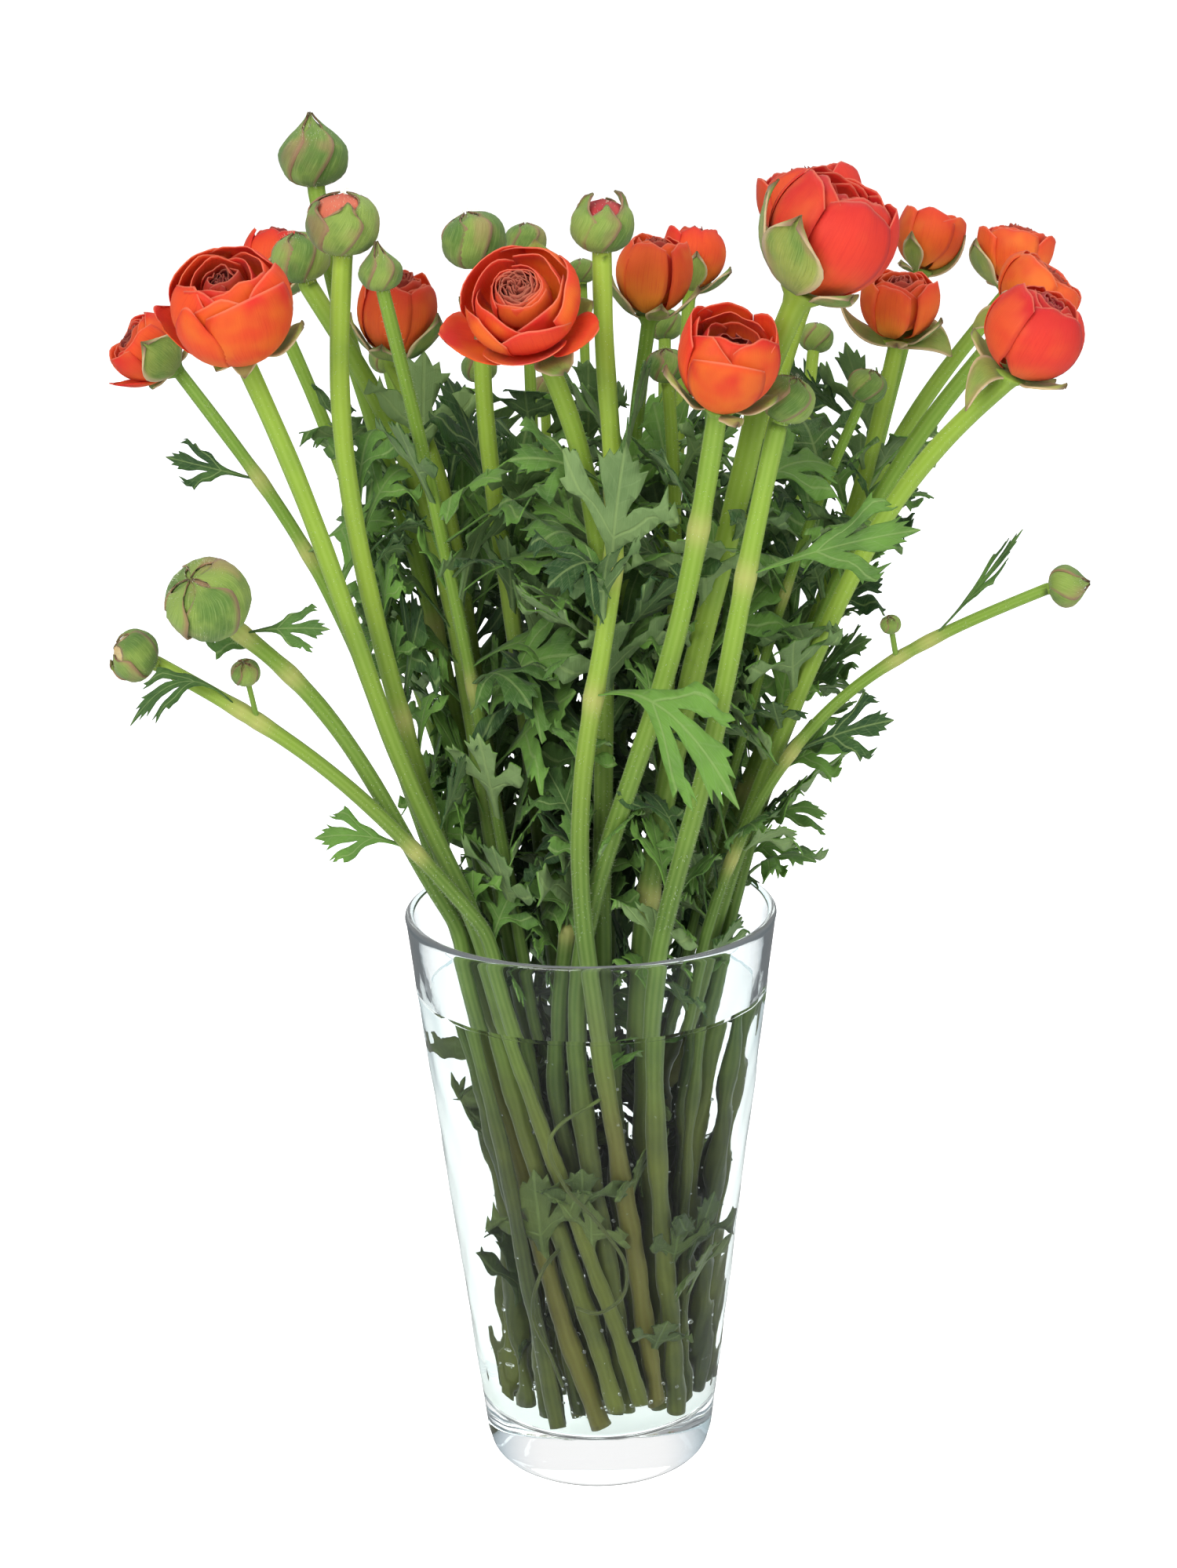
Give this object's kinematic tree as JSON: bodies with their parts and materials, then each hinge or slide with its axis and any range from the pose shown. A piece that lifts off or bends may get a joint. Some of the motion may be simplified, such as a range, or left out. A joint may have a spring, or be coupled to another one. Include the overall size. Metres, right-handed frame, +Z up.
{
  "type": "ranunculus bouquet in a glass vase",
  "caption": "Cut ranunculus with layered cup blooms, round buds and divided leaves, standing in water in a tapered clear glass vase.",
  "frame": {"origin": "middle of the vase's flat underside", "axes": "+Z up along the vase's axis, -Y towards the viewer of the picture, +X to that viewer's right"},
  "size_m": [0.3137, 0.2153, 0.4615],
  "materials": {
    "vase_glass": "clear colourless glass with a faint blue-green tint, slightly wavy",
    "water": "clear water",
    "stem_green": "fresh green stems, sepals and divided leaves with fine pale hairs",
    "bud_green": "grey-green hairy buds on fresh green stems with divided leaves",
    "petals_red": "silky orange-red petals with fine veins",
    "petals_coral": "silky coral-red petals with fine veins",
    "petals_orange": "dull orange petals with fine veins and darker edges"
  },
  "bodies": {
    "root": {"vase": "vase_glass", "water": "water", "stem_far_left": "stem_green", "petals_far_left": "petals_red", "stem_left_cup": "stem_green", "petals_left_cup": "petals_red", "stem_left_behind": "stem_green", "petals_left_behind": "petals_red", "stem_left_small": "stem_green", "petals_left_small": "petals_red", "stem_rose_centre": "stem_green", "petals_rose_centre": "petals_red", "stem_centre_cup": "stem_green", "petals_centre_cup": "petals_red", "stem_centre_behind": "stem_green", "petals_centre_behind": "petals_red", "stem_right_front": "stem_green", "petals_right_front": "petals_red", "stem_tall_behind": "stem_green", "petals_tall_behind": "petals_coral", "stem_tall_front": "stem_green", "petals_tall_front": "petals_coral", "stem_right_behind": "stem_green", "petals_right_behind": "petals_orange", "stem_right_low": "stem_green", "petals_right_low": "petals_orange", "stem_right_top": "stem_green", "petals_right_top": "petals_orange", "stem_right_middle": "stem_green", "petals_right_middle": "petals_orange", "stem_right_ball": "stem_green", "petals_right_ball": "petals_coral", "bud_highest_left": "bud_green", "bud_tall_left": "bud_green", "bud_left_hidden": "bud_green", "bud_left_pointed": "bud_green", "bud_centre_left": "bud_green", "bud_centre_back": "bud_green", "bud_tall_centre": "bud_green", "bud_far_back": "bud_green", "bud_left_round": "bud_green", "bud_lowest_left": "bud_green", "bud_right_near": "bud_green", "bud_right_leaning": "bud_green", "bud_centre_right": "bud_green", "bud_far_right": "bud_green", "bud_right_back": "bud_green", "bud_high_back": "bud_green", "bud_left_back": "bud_green", "bud_low_back": "bud_green", "bud_back_left": "bud_green", "stub": "stem_green"}
  },
  "joints": []
}
